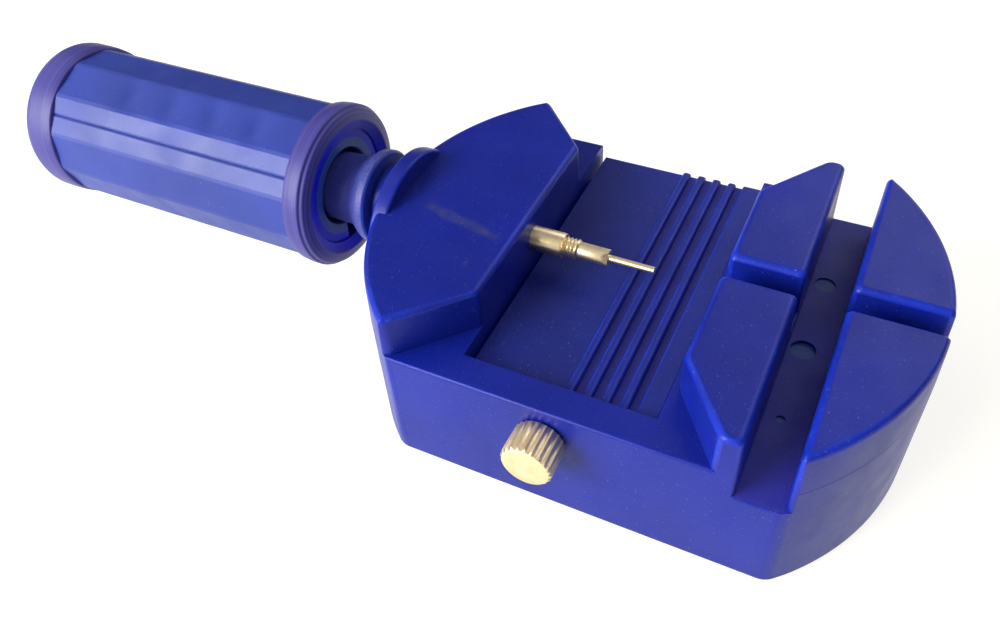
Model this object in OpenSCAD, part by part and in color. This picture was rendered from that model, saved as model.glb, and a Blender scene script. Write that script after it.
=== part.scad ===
// Watch-band link-pin remover: a moulded base with a screw-driven ejector pin.
// Origin: centre of the underside. +X runs from the handle to the jaw, +Y to the back, +Z up.

/* [Body] */
// Length of the body between the tips of its two round ends
body_l = 64.8; // [60:0.2:70]
// Width of the body
body_w = 45; // [43:0.5:50]
// Height of the rim, where the two mould halves meet
rim_h = 15.8; // [15:0.1:16.5]
// Height of the two raised blocks
block_h = 21.2; // [20.8:0.1:22]
// How far the head end bows out past its corners
head_bow = 10.8; // [8:0.2:13]
// How far the jaw end bows out past its corners
jaw_bow = 10.2; // [8:0.2:12]
// How far the raised blocks stand in from the wall below them
block_inset = 0.3; // [0.1:0.05:0.5]
// Thickness of the outer walls under the blocks
wall = 2.2; // [1.6:0.1:2.4]

/* [Blocks] */
// X of the head block's straight face
head_face_x = -13.8; // [-14.5:0.1:-13]
// X of the jaw block's straight face
jaw_face_x = 8.8; // [8.4:0.1:10]
// Half the length of the straight faces, up to their chamfers
face_half = 14; // [10:0.5:16]
// Width of the long slot that crosses the jaw block
cross_slot_w = 4.7; // [4.5:0.1:5]
// X of the long slot's centre line
cross_slot_x = 19.6; // [19:0.1:20.5]
// Height of the long slot's floor
cross_slot_floor = 12.8; // [12:0.1:14]
// Width of the slot that lets the driven pin out
exit_slot_w = 2.7; // [2:0.1:3.2]
// Height of that slot's floor
exit_slot_floor = 15.4; // [14.5:0.1:15.6]

/* [Bed] */
// Height of the bed plate's top
bed_top = 13.8; // [13.4:0.1:14]
// Thickness of the bed plate
bed_t = 2.2; // [1.8:0.1:2.4]
// Gap between the head block and the bed plate
bed_gap = 0.4; // [0.3:0.1:1.2]
// Height of the gripping ribs
rib_h = 0.9; // [0.6:0.1:1]
// Distance between the gripping ribs
rib_pitch = 2; // [1.8:0.1:2]
// Thickness of the well's front wall
front_wall = 4.1; // [3.9:0.1:4.5]

/* [Ejector] */
// Height of the screw axis
axis_z = 17.4; // [17.2:0.1:17.6]
// Diameter of the feed screw
feed_d = 4; // [4:0.1:4.2]
// Diameter of the feed screw's plain nose
nose_d = 3; // [2.8:0.1:3.2]
// Diameter of the ejector pin
pin_d = 0.8; // [0.7:0.1:0.9]
// Length of pin that stands out of its holder
pin_free_l = 5.5; // [4:0.5:7]

/* [Handle] */
// Corner radius of the twelve-sided barrel
barrel_r = 10.2; // [9.8:0.05:10.3]
// Outer radius of the front ring
ring_r = 10.55; // [10.5:0.05:11]
// Radius of the rear cap
cap_r = 10.4; // [10.3:0.05:11]
// Inside radius of the barrel
barrel_in_r = 8.5; // [8.2:0.1:8.7]
// Radius of the mouth inside the front ring's lip
mouth_r = 7.5; // [7.2:0.1:8]
// X of the handle's front face
handle_front_x = -39.6; // [-41:0.1:-38.5]
// X of the handle's rear face
handle_rear_x = -85.8; // [-95:0.1:-80]

/* [Thumb screw] */
// Diameter of the fluted head
thumb_d = 5.9; // [5.5:0.1:6.5]
// Height of the fluted head
thumb_head_h = 4.1; // [3:0.1:5]
// Number of flutes
flutes = 22; // [16:1:26]
// Height of the thumb screw's axis
thumb_z = 11.6; // [11:0.1:11.8]
// X of the thumb screw's axis
thumb_x = -3; // [-6:0.5:3]

/* [Hidden] */
$fn = 96;
over = 1;
fit = 0.04;

blue = "#1b2fae";
dark_blue = "#18249a";
steel = "#c9bfa6";
brass = "#c8a860";

half_l = body_l / 2;
half_w = body_w / 2;
head_corner_x = head_bow - half_l;
jaw_corner_x = half_l - jaw_bow;
jaw_chamfer_x = jaw_face_x + 6;

// Well under the bed plate
well_x0 = head_face_x;
well_x1 = jaw_face_x - 0.7;
well_y0 = front_wall - half_w;
well_floor = 3;
well_back_wall = 2.2;
well_back_h = 9.2;

// Bed plate
bed_x0 = well_x0 + bed_gap;
bed_x1 = well_x1 - 0.2;
bed_y0 = well_y0 + 0.2;
bed_y1 = half_w - 0.05;
leg_t = 1.6;
leg_bottom = 6;
leg_y1 = half_w - well_back_wall - 0.3;
rib_seat = 1;
first_rib_x = -2.35;
rib_w = 1;
rib_count = 4;
plateau_x = 5.6;

// Two shallow round marks in the long slot's floor
mark_x = 18.9;
large_mark_y = -1.1;
large_mark_r = 1.4;
large_mark_depth = 0.8;
small_mark_y = 9.9;
small_mark_r = 1.2;
small_mark_depth = 0.3;

// Moulding pockets under the two blocks
pocket_rib = 1.8;
head_pocket_x1 = head_face_x - 2;
head_pocket_top = 10;
jaw_pocket_x0 = jaw_face_x + 1.4;
jaw_pocket_top = cross_slot_floor - 2.4;

// Boss and stub that the feed screw passes through
boss_x0 = -31.7;
boss_x1 = -29.6;
boss_r = 9.8;
boss_z = 14.1;
stub_x0 = -33.8;
stub_r = 4.4;
bush_r = 3;
bush_l = 12;
nose_hole_x = head_face_x - 2.6;
nose_play = 0.06;

// Feed screw and tip, from left to right
feed_x0 = -50;
feed_shoulder_x = nose_hole_x - 0.6;
nose_end_x = -9.8;
socket_l = 3.4;
thread_end_x = -8.1;
holder_end_x = -4.3;
holder_r = 1;
tip_thread_r = 1.25;
pin_x0 = -7.9;
pin_x1 = holder_end_x + pin_free_l;

// Handle
flange_gap = 0.3;
flange_r = 6.05;
flange_w = 1.6;
flange_x1 = stub_x0 - flange_gap;
flange_x0 = flange_x1 - flange_w;
hub_r = 4.3;
web_x0 = -47.5;
recess_x0 = -44;
recess_r = 5.7;
notch_y = -1.6;
notch_w = 3.6;
notch_h = 3.4;
ring_w = 3.2;
cap_w = 4.8;
cap_wall = 1.6;
spigot_r = 9.3;
lip_w = 0.8;
lip_crest_r = 8.8;
barrel_x0 = handle_rear_x + cap_w;
barrel_x1 = handle_front_x - ring_w;
shell_x1 = handle_front_x - lip_w;
barrel_turn = 7;
seam_angle = 142;

// Thumb screw, measured inwards from the wall
wall_y = -half_w;
thumb_gap = 0.05;
thumb_tip_y = bed_y0 - thumb_gap;
thumb_seat_y = wall_y - 0.1;
thumb_shank_r = 1.5;
thumb_spigot_r = 1;
thumb_spigot_l = 2.9;
thumb_play = 0.2;
flute_r = 0.24;
insert_r = 2.3;
insert_l = 3.2;

// A cylinder along X that starts at x
module bar_x(x, length, r, turn = 0) {
    translate([x, 0, axis_z]) rotate([0, 90, 0]) rotate(turn) cylinder(h = length, r = r);
}

// A solid turned about the screw axis from [x, radius] points
module turned_x(points) {
    translate([0, 0, axis_z]) rotate([0, 90, 0]) rotate_extrude() polygon([for (p = points) [p[1], p[0]]]);
}

// A cylinder along Y on the thumb screw's axis that starts at y
module bar_y(y, length, r) {
    translate([thumb_x, y, thumb_z]) rotate([-90, 0, 0]) cylinder(h = length, r = r);
}

// A block between two corners
module block(a, b) {
    translate(a) cube(b - a);
}

function bow_radius(bow) = (half_w * half_w + bow * bow) / (2 * bow);

// Plan of the body, drawn in all round by a margin
module body_plan(margin = 0) {
    head_r = bow_radius(head_bow);
    jaw_r = bow_radius(jaw_bow);
    intersection() {
        square([2 * body_l, body_w - 2 * margin], center = true);
        union() {
            intersection() {
                translate([head_r - half_l, 0]) circle(r = head_r - margin, $fn = 240);
                translate([-body_l, -body_w]) square([body_l, 2 * body_w]);
            }
            intersection() {
                translate([half_l - jaw_r, 0]) circle(r = jaw_r - margin, $fn = 240);
                translate([0, -body_w]) square([body_l, 2 * body_w]);
            }
        }
    }
}

// Plan of a raised block: a straight face with a chamfer at each end, then everything outwards
module block_plan(face_x, corner_x, out) {
    polygon([
        [face_x, -face_half], [face_x, face_half],
        [corner_x, half_w], [corner_x, body_w],
        [out * body_l, body_w], [out * body_l, -body_w],
        [corner_x, -body_w], [corner_x, -half_w]
    ]);
}

module raised_blocks() {
    translate([0, 0, rim_h]) linear_extrude(block_h - rim_h) intersection() {
        body_plan(block_inset);
        union() {
            block_plan(head_face_x, head_corner_x, -1);
            block_plan(jaw_face_x, jaw_chamfer_x, 1);
        }
    }
}

// Boss and stub on the head end
module screw_boss() {
    translate([boss_x0, 0, boss_z]) rotate([0, 90, 0]) cylinder(h = boss_x1 - boss_x0, r = boss_r);
    bar_x(stub_x0, boss_x1 - stub_x0, stub_r);
}

// Well that holds the bed plate, open at the back above a low wall
module bed_well() {
    block([well_x0, well_y0, well_floor], [well_x1, half_w - well_back_wall, block_h]);
    block([well_x0, 0, well_back_h], [well_x1, half_w + over, block_h]);
}

module jaw_slots() {
    block([cross_slot_x - cross_slot_w / 2, -half_w - over, cross_slot_floor],
          [cross_slot_x + cross_slot_w / 2, half_w + over, block_h + over]);
    block([jaw_face_x - over, -exit_slot_w / 2, exit_slot_floor],
          [half_l + over, exit_slot_w / 2, block_h + over]);
    translate([mark_x, large_mark_y, cross_slot_floor - large_mark_depth])
        cylinder(h = over + large_mark_depth, r = large_mark_r);
    translate([mark_x, small_mark_y, cross_slot_floor - small_mark_depth])
        cylinder(h = over + small_mark_depth, r = small_mark_r);
}

// Moulding pockets under one block, in two rows of four between ribs
module underside_pockets(x0, x1, top) {
    across = (body_w - 2 * wall - 3 * pocket_rib) / 4;
    along = (x1 - x0 - pocket_rib) / 2;
    intersection() {
        translate([0, 0, -over]) linear_extrude(top + over) body_plan(wall);
        union() for (i = [0, 1], j = [0:3]) {
            translate([x0 + i * (along + pocket_rib), wall - half_w + j * (across + pocket_rib), -over])
                cube([along, across, top + 2 * over]);
        }
    }
}

module screw_holes() {
    bar_x(stub_x0 - over, bush_l + over, bush_r);
    bar_x(stub_x0 - over, nose_hole_x - stub_x0 + over, feed_d / 2 + fit);
    bar_x(nose_hole_x - over, head_face_x - nose_hole_x + 2 * over, nose_d / 2 + nose_play);
    bar_y(wall_y - over, front_wall + 2 * over, thumb_shank_r + thumb_play);
    bar_y(well_y0 - insert_l, insert_l + over, insert_r);
}

module body() {
    color(blue) difference() {
        union() {
            linear_extrude(rim_h) body_plan();
            raised_blocks();
            screw_boss();
        }
        bed_well();
        jaw_slots();
        screw_holes();
        underside_pockets(wall - half_l, head_pocket_x1, head_pocket_top);
        underside_pockets(jaw_pocket_x0, half_l - wall, jaw_pocket_top);
    }
}

module bed_plate() {
    color(dark_blue) {
        block([bed_x0, bed_y0, bed_top - bed_t], [bed_x1, bed_y1, bed_top]);
        for (i = [0:rib_count - 1]) {
            x = first_rib_x + i * rib_pitch;
            block([x, bed_y0, bed_top - rib_seat], [x + rib_w, bed_y1, bed_top + rib_h]);
        }
        block([plateau_x, bed_y0, bed_top - rib_seat], [bed_x1, bed_y1, bed_top + rib_h]);
        for (x = [bed_x0, (bed_x0 + bed_x1 - leg_t) / 2, bed_x1 - leg_t]) {
            block([x, bed_y0, leg_bottom], [x + leg_t, leg_y1, bed_top - rib_seat]);
        }
        for (y = [bed_y0, leg_y1 - leg_t]) {
            block([bed_x0, y, leg_bottom], [bed_x1, y + leg_t, bed_top - rib_seat]);
        }
    }
}

// Threaded bush pressed into the stub
module thread_bush() {
    color(brass) difference() {
        bar_x(stub_x0, bush_l, bush_r);
        bar_x(stub_x0 - over, bush_l + 2 * over, feed_d / 2 + fit);
    }
}

// Threaded insert pressed into the front wall from the well
module clamp_insert() {
    color(brass) difference() {
        bar_y(well_y0 - insert_l, insert_l, insert_r);
        bar_y(well_y0 - insert_l - over, insert_l + 2 * over, thumb_shank_r + fit);
    }
}

module thumb_screw_shank() {
    color(steel) {
        bar_y(thumb_seat_y, thumb_tip_y - thumb_seat_y, thumb_shank_r);
        bar_y(thumb_seat_y - thumb_spigot_l, thumb_spigot_l + over, thumb_spigot_r);
    }
}

// Fluted head with a chamfered face
module thumb_screw_head() {
    r = thumb_d / 2;
    chamfer = 0.38;
    color(steel) translate([thumb_x, thumb_seat_y, thumb_z]) rotate([90, 0, 0]) difference() {
        union() {
            linear_extrude(thumb_head_h - chamfer) difference() {
                circle(r = r);
                for (i = [0:flutes - 1]) {
                    rotate(i * 360 / flutes) translate([r + 0.04, 0]) circle(r = flute_r, $fn = 6);
                }
            }
            translate([0, 0, thumb_head_h - chamfer]) cylinder(h = chamfer, r1 = r - 0.06, r2 = r - chamfer);
        }
        translate([0, 0, -over]) cylinder(h = thumb_spigot_l + over + 0.1, r = thumb_spigot_r + 0.03);
    }
}

// Steel screw: threaded length, shoulder, plain nose with a socket for the tip
module feed_screw() {
    color(steel) difference() {
        union() {
            bar_x(feed_x0, feed_shoulder_x - feed_x0, feed_d / 2);
            bar_x(feed_shoulder_x - over, nose_end_x - feed_shoulder_x + over, nose_d / 2);
        }
        bar_x(nose_end_x - socket_l, socket_l + over, tip_thread_r);
    }
}

// Screw-in tip: threaded shank, holder with two flats, hole for the pin
module tip_holder() {
    groove = 0.3;
    flat_l = 1;
    color(steel) difference() {
        union() {
            bar_x(nose_end_x - socket_l + 0.2, thread_end_x - nose_end_x + socket_l - 0.2, tip_thread_r);
            bar_x(thread_end_x - over, holder_end_x - thread_end_x + over, holder_r);
        }
        for (x = [nose_end_x + 0.15 : 2 * groove : thread_end_x - groove]) {
            turned_x([[x, tip_thread_r + over], [x, tip_thread_r], [x + groove / 2, tip_thread_r - 0.2],
                      [x + groove, tip_thread_r], [x + groove, tip_thread_r + over]]);
        }
        for (turn = [0, 180]) {
            translate([holder_end_x, 0, axis_z]) rotate([turn + 60, 0, 0])
                translate([-flat_l, -holder_r, 0.72 * holder_r]) cube([flat_l + over, 2 * holder_r, holder_r]);
        }
        bar_x(pin_x0 - 0.05, holder_end_x - pin_x0 + over, pin_d / 2 + 0.03);
    }
}

module ejector_pin() {
    color(steel) bar_x(pin_x0, pin_x1 - pin_x0, pin_d / 2);
}

// Spool that carries the screw: flange, hub, and a web with a round recess and a notch in its face
module handle_hub() {
    color(blue) difference() {
        union() {
            bar_x(flange_x0, flange_w, flange_r);
            bar_x(web_x0, flange_x0 - web_x0 + over, hub_r);
            difference() {
                bar_x(web_x0, shell_x1 - web_x0, barrel_in_r);
                bar_x(recess_x0, shell_x1 - recess_x0 + over, recess_r);
            }
        }
        bar_x(feed_x0, flange_x1 - feed_x0 + over, feed_d / 2);
        translate([recess_x0, notch_y, axis_z - barrel_in_r - over])
            cube([shell_x1 - recess_x0 + over, notch_w, notch_h + over]);
    }
}

// The twelve-sided barrel with a round spigot at each end
module barrel() {
    difference() {
        union() {
            bar_x(barrel_x0, barrel_x1 - barrel_x0, barrel_r, turn = barrel_turn, $fn = 12);
            bar_x(handle_rear_x + cap_wall, shell_x1 - handle_rear_x - cap_wall, spigot_r);
        }
        bar_x(handle_rear_x, handle_front_x - handle_rear_x, barrel_in_r);
    }
}

// One half of the barrel, on the side of the seam that side selects
module half_barrel(side) {
    length = handle_front_x - handle_rear_x;
    intersection() {
        barrel();
        translate([handle_rear_x, 0, axis_z]) rotate([seam_angle, 0, 0])
            translate([0, -ring_r, side > 0 ? 0 : -ring_r]) cube([length, 2 * ring_r, ring_r]);
    }
}

module handle_shell_front() {
    color(blue) half_barrel(1);
}

module handle_shell_back() {
    color(blue) half_barrel(-1);
}

// Ring with a stepped, chamfered lip that closes over the front ends of the shells
module front_ring() {
    x0 = barrel_x1;
    x1 = handle_front_x;
    color(dark_blue) turned_x([
        [x0, spigot_r], [x0, ring_r - 0.1], [x0 + 0.4, ring_r], [x1 - 0.9, ring_r],
        [x1 - 0.85, ring_r - 0.3], [x1 - 0.15, ring_r - 0.9], [x1, lip_crest_r],
        [x1 - lip_w + 0.15, mouth_r], [x1 - lip_w, mouth_r], [x1 - lip_w, spigot_r]
    ]);
}

// Cap that closes over the rear ends of the shells
module rear_cap() {
    x0 = handle_rear_x;
    x1 = barrel_x0;
    color(dark_blue) turned_x([
        [x0, 0], [x0, cap_r - 0.35], [x0 + 0.5, cap_r], [x1 - 0.4, cap_r],
        [x1, cap_r - 0.1], [x1, spigot_r], [x0 + cap_wall, spigot_r], [x0 + cap_wall, 0]
    ]);
}

body();
bed_plate();
thread_bush();
clamp_insert();
thumb_screw_shank();
thumb_screw_head();
feed_screw();
tip_holder();
ejector_pin();
handle_hub();
handle_shell_front();
handle_shell_back();
front_ring();
rear_cap();
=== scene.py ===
"""Looks of a watch band link-pin remover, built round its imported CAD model.

Shapes are worked out in millimetres in the CAD frame (+X towards the jaw, +Z up) and scaled to metres
when a mesh is made.
"""
import math

import bmesh
import bpy
from mathutils import Matrix, Vector


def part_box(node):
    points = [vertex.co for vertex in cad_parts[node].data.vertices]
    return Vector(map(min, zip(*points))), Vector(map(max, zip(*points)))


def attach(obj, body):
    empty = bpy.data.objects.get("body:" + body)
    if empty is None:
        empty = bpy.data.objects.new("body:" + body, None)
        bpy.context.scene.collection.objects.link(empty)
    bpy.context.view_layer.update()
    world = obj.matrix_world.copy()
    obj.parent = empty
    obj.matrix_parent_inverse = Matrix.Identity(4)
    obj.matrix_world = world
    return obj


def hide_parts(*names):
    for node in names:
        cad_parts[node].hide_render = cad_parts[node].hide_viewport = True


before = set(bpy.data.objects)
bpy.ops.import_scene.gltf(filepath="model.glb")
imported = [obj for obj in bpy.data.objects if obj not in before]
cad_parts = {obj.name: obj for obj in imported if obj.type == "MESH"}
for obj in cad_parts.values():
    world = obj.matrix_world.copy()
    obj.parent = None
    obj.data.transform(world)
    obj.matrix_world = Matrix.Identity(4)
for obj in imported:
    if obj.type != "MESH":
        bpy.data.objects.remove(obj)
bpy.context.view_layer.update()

MM = 0.001

# ---------------------------------------------------------------- sizes, in millimetres


def node_box(node):
    """Corners of a CAD node in millimetres."""
    low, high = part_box(node)
    return low / MM, high / MM


body_low, body_high = node_box("body")
bed_low, bed_high = node_box("bed_plate")
pin_low, pin_high = node_box("ejector_pin")
thumb_low, thumb_high = node_box("thumb_screw_head")
ring_low, ring_high = node_box("front_ring")
cap_low, cap_high = node_box("rear_cap")
hub_low, hub_high = node_box("handle_hub")
screw_low, screw_high = node_box("feed_screw")
tip_low, tip_high = node_box("tip_holder")
bush_low, bush_high = node_box("thread_bush")

# The base: its bowed ends, the rim between the two blocks, and the blocks' faces.
HALF_L = body_high.x
HALF_W = body_high.y
RIM_H = 15.8
BLOCK_H = 21.2
HEAD_BOW = 10.8
JAW_BOW = 10.2
HEAD_FACE_X = -13.8
JAW_FACE_X = 8.8
FACE_HALF = 14
JAW_CHAMFER_X = JAW_FACE_X + 6
HEAD_CHAMFER_X = HEAD_BOW - HALF_L

# How far the ends lean in at the rim and at the block tops, and the share of it that the sides lean in.
RIM_IN, TOP_IN = 0.12, 0.28
SIDE_SHARE = 0.6

# Rounded edges: the block tops, the corners of the plan, and the mouths of the slots.
TOP_ROUND = 0.75
CORNER_R = 2.4
MOUTH_ROUND = 0.7

# The two slots of the jaw, and the marks in the floor of the wide one as (x, y, depth, radius).
CROSS_SLOT = (17.25, 21.95)
CROSS_FLOOR = 12.8
EXIT_HALF_W = 1.35
EXIT_FLOOR = 15.4
SLOT_MARKS = ((18.9, -1.1, 0.4, 1.4), (18.9, 9.9, 0.2, 1.2), (19.0, -11.4, 0.2, 0.5))

# The well for the bed plate, and the plate's ribs: their height, pitch, and stretch up to the raised step.
WELL_X = (HEAD_FACE_X, JAW_FACE_X - 0.7)
WELL_FRONT_Y = 4.1 - HALF_W
WELL_FLOOR = 3
WELL_BACK_Y = HALF_W - 2.2
WELL_BACK_H = 9.2
RIB_H = 0.9
RIB_PITCH = 2
RIBS_X = (-2.35, 5.6)

# The boss and the stub behind the head block, and the bores along the screw as (end, radius).
AXIS_Z = (ring_low.z + ring_high.z) / 2
BOSS_X = (-31.7, -29.6)
BOSS_R = 9.8
BOSS_Z = 14.1
STUB_X = body_low.x
STUB_R = 4.4
BUSH_BORE = (STUB_X + 12, 3)
SCREW_BORE = (HEAD_FACE_X - 2.6, 2.04)
NOSE_BORE_R = 1.56

# The thumb screw's axis, its bore in the wall, and the wider bore of its insert.
THUMB_X = (thumb_low.x + thumb_high.x) / 2
THUMB_Z = (thumb_low.z + thumb_high.z) / 2
THUMB_BORE_R = 1.7
INSERT_BORE_R = 2.3
INSERT_L = 3.2

# The handle: its hollow, the spigots at the barrel's ends, its mouth and front lip, and the spool's web.
BARREL_IN_R = 8.5
SPIGOT_R = 9.28
SPIGOT_HOLE_R = 9.35
MOUTH_R = 7.5
LIP_CREST_R = 8.8
WEB_FACE_X = ring_high.x - 0.82
LIP_STEP = 0.04

# The barrel's twelve flats, in degrees about the screw's axis: one corner and one seam.
FLAT_TURN = 30
FLAT_CORNER = 97
SEAM = 142

# The pin, and the radius at which a turned solid is closed at its centre.
PIN_R = 0.4
CENTRE_R = 0.01

# Pitches of the two threads that show.
FEED_PITCH = 0.7
TIP_PITCH = 0.45

# How far a cutting solid reaches past the surface that it cuts.
OVER = 2

# ---------------------------------------------------------------- mesh helpers


def mark_glowing_edges(bm):
    """Marks the crests of rounded outer edges, where all faces are narrow strips, in the edge_glow attribute,
    which the plastic paints with a highlight and glow.
    """
    narrow, sharp = 0.15, math.radians(20)
    layer = bm.verts.layers.float.new("edge_glow")
    for vert in bm.verts:
        thin = all(face.calc_area() < narrow * face.calc_perimeter() for face in vert.link_faces)
        bend = sum(edge.calc_face_angle_signed(0) for edge in vert.link_edges)
        if thin and bend > sharp:
            vert[layer] = 1


def make_object(name, bm, material, angle=40, steady=False):
    """An object from a bmesh in millimetres. Steady normals keep large flat faces flat."""
    bmesh.ops.recalc_face_normals(bm, faces=bm.faces)
    if steady:
        # Marks the edge crests for the painted edge highlight and glow.
        mark_glowing_edges(bm)
    bm.transform(Matrix.Scale(MM, 4))
    mesh = bpy.data.meshes.new(name)
    bm.to_mesh(mesh)
    bm.free()
    mesh.materials.append(material)
    mesh.shade_smooth()
    mesh.set_sharp_from_angle(angle=math.radians(angle))
    made = bpy.data.objects.new(name, mesh)
    bpy.context.scene.collection.objects.link(made)
    if steady:
        step = made.modifiers.new("flat_faces", "WEIGHTED_NORMAL")
        step.keep_sharp = True
        step.weight = 100
    return made


def paint(piece, material, chosen):
    """A second material on the faces whose centre, in millimetres, and normal pass a test."""
    piece.data.materials.append(material)
    last = len(piece.data.materials) - 1
    for face in piece.data.polygons:
        if chosen(face.center / MM, face.normal):
            face.material_index = last


def stand_for(piece, body, slot, *nodes):
    """The piece rides on a body in place of CAD nodes."""
    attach(piece, body)
    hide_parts(*nodes)


def loft(rings, closed=False):
    """A bmesh skin through rings of points, capped at both ends unless it closes on itself."""
    bm = bmesh.new()
    verts = [[bm.verts.new(p) for p in ring] for ring in rings]
    count = len(rings[0])
    spans = len(rings) if closed else len(rings) - 1
    for i in range(spans):
        a, b = verts[i], verts[(i + 1) % len(rings)]
        for j in range(count):
            k = (j + 1) % count
            bm.faces.new((a[j], a[k], b[k], b[j]))
    if not closed:
        bm.faces.new(verts[0])
        bm.faces.new(reversed(verts[-1]))
    return bm


def circle(radius, steps):
    """Points round a circle."""
    angles = [2 * math.pi * i / steps for i in range(steps)]
    return [(radius * math.cos(a), radius * math.sin(a)) for a in angles]


def quarter_turn(steps=5):
    """Angles in even steps from 0 to 90 degrees."""
    return [math.radians(90 * i / steps) for i in range(steps + 1)]


def from_axis(place):
    """Distance from the screw's axis."""
    return math.hypot(place.y, place.z - AXIS_Z)


def box_mesh(low, high):
    """A box between two corners."""
    (x0, y0, z0), (x1, y1, z1) = low, high
    plan = [(x0, y0), (x1, y0), (x1, y1), (x0, y1)]
    return loft([[(x, y, z) for x, y in plan] for z in (z0, z1)])


def bar_mesh(x0, x1, radius):
    """A cylinder along the screw's axis."""
    return loft([[(x, y, AXIS_Z + z) for y, z in circle(radius, 96)] for x in (x0, x1)])


def eased_bar(x0, x1, radius, centre_z, ease):
    """A cylinder along X with rounded rims."""
    rim = [(ease * (1 - math.sin(a)), radius - ease * (1 - math.cos(a))) for a in quarter_turn(3)]
    profile = [(x0 + inset, r) for inset, r in reversed(rim)] + [(x1 - inset, r) for inset, r in rim]
    return loft([[(x, y, centre_z + z) for y, z in circle(r, 128)] for x, r in profile])


def upright(x, y, z0, z1, radius):
    """A cylinder along Z."""
    return loft([[(x + u, y + v, z) for u, v in circle(radius, 48)] for z in (z0, z1)])


def across_y(stations):
    """A solid turned about the thumb screw's axis, through (y, radius) stations."""
    return loft([[(THUMB_X + u, y, THUMB_Z + v) for u, v in circle(radius, 48)] for y, radius in stations])


def plain_object(bm):
    """A temporary object for a Boolean."""
    bmesh.ops.recalc_face_normals(bm, faces=bm.faces)
    mesh = bpy.data.meshes.new("tool")
    bm.to_mesh(mesh)
    bm.free()
    made = bpy.data.objects.new("tool", mesh)
    bpy.context.scene.collection.objects.link(made)
    return made


def combined(base, tools, operation):
    """The bmesh left when an operation is run between a bmesh and a list of others."""
    target = plain_object(base)
    helpers = [plain_object(bm) for bm in tools]
    for helper in helpers:
        step = target.modifiers.new("cut", "BOOLEAN")
        step.operation = operation
        step.solver = "EXACT"
        step.object = helper
    bpy.context.view_layer.update()
    done = target.evaluated_get(bpy.context.evaluated_depsgraph_get())
    mesh = bpy.data.meshes.new_from_object(done)
    out = bmesh.new()
    out.from_mesh(mesh)
    for made in [target, *helpers]:
        bpy.data.objects.remove(made)
    return out


def tidied(bm):
    """Joins doubled corners and faces that lie in one plane."""
    bmesh.ops.remove_doubles(bm, verts=bm.verts, dist=0.002)
    bmesh.ops.dissolve_limit(bm, angle_limit=math.radians(0.3), verts=bm.verts, edges=bm.edges)
    return bm


def soften(bm, width, where=None):
    """Rounds the sharp edges, or only those whose two ends pass a test."""
    tidied(bm)
    sharp = [e for e in bm.edges if e.is_manifold and e.calc_face_angle(0) > math.radians(35)]
    if where:
        sharp = [e for e in sharp if all(where(v.co) for v in e.verts)]
    bmesh.ops.bevel(
        bm, geom=sharp, offset=width, offset_type="OFFSET", segments=2,
        profile=0.5, affect="EDGES", clamp_overlap=True,
    )
    return bm


def filleted(points, steps=5):
    """A closed outline with its corners rounded. Each point is (x, y, radius)."""
    out = []
    for i, (x, y, radius) in enumerate(points):
        here = Vector((x, y))
        back = Vector(points[i - 1][:2]) - here
        ahead = Vector(points[(i + 1) % len(points)][:2]) - here
        if not radius:
            out.append((x, y))
            continue
        back.normalize()
        ahead.normalize()
        half = back.angle(ahead) / 2
        centre = here + (back + ahead).normalized() * (radius / math.sin(half))
        start = here + back * (radius / math.tan(half)) - centre
        end = here + ahead * (radius / math.tan(half)) - centre
        turn = start.angle_signed(end)
        for k in range(steps + 1):
            spoke = start.copy()
            spoke.rotate(Matrix.Rotation(-turn * k / steps, 2))
            out.append(tuple(centre + spoke))
    return out


# ---------------------------------------------------------------- material helpers


def set_range(node, low, high, to_low, to_high):
    """Fills in a Map Range node."""
    for socket, number in zip(("From Min", "From Max", "To Min", "To Max"), (low, high, to_low, to_high)):
        node.inputs[socket].default_value = number


class Shader:
    """A node material that is built up in short steps."""

    def __init__(self, name):
        self.material = bpy.data.materials.new(name)
        self.material.use_nodes = True
        self.tree = self.material.node_tree
        self.bsdf = self.tree.nodes["Principled BSDF"]
        self.place = self.node("ShaderNodeTexCoord").outputs["Object"]

    def node(self, kind, **settings):
        made = self.tree.nodes.new(kind)
        for key, value in settings.items():
            setattr(made, key, value)
        return made

    def join(self, source, target):
        if isinstance(source, (int, float, tuple)):
            target.default_value = source
        else:
            self.tree.links.new(source, target)

    def noise(self, scale, detail=3, roughness=0.5, at=None):
        made = self.node("ShaderNodeTexNoise")
        self.join(at or self.place, made.inputs["Vector"])
        made.inputs["Scale"].default_value = scale
        made.inputs["Detail"].default_value = detail
        made.inputs["Roughness"].default_value = roughness
        return made.outputs["Fac"]

    def stretched(self, scale):
        made = self.node("ShaderNodeMapping")
        self.join(self.place, made.inputs["Vector"])
        made.inputs["Scale"].default_value = scale
        return made.outputs["Vector"]

    def remap(self, value, low, high, to_low=0.0, to_high=1.0):
        made = self.node("ShaderNodeMapRange")
        self.join(value, made.inputs["Value"])
        set_range(made, low, high, to_low, to_high)
        return made.outputs["Result"]

    def math(self, operation, a, b=0.0):
        made = self.node("ShaderNodeMath", operation=operation)
        self.join(a, made.inputs[0])
        self.join(b, made.inputs[1])
        return made.outputs[0]

    def mix(self, factor, a, b):
        made = self.node("ShaderNodeMix", data_type="RGBA")
        self.join(factor, made.inputs["Factor"])
        self.join(a, made.inputs["A"])
        self.join(b, made.inputs["B"])
        return made.outputs["Result"]

    def attribute(self, name):
        return self.node("ShaderNodeAttribute", attribute_name=name).outputs["Fac"]

    def bump(self, height, distance, strength=1.0, under=None):
        made = self.node("ShaderNodeBump")
        made.inputs["Strength"].default_value = strength
        made.inputs["Distance"].default_value = distance
        self.join(height, made.inputs["Height"])
        if under is not None:
            self.join(under, made.inputs["Normal"])
        return made.outputs["Normal"]

    def finish(self, **sockets):
        names = {"colour": "Base Color", "roughness": "Roughness", "normal": "Normal", "metallic": "Metallic"}
        for key, value in sockets.items():
            self.join(value, self.bsdf.inputs[names.get(key, key)])
        return self.material


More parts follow.
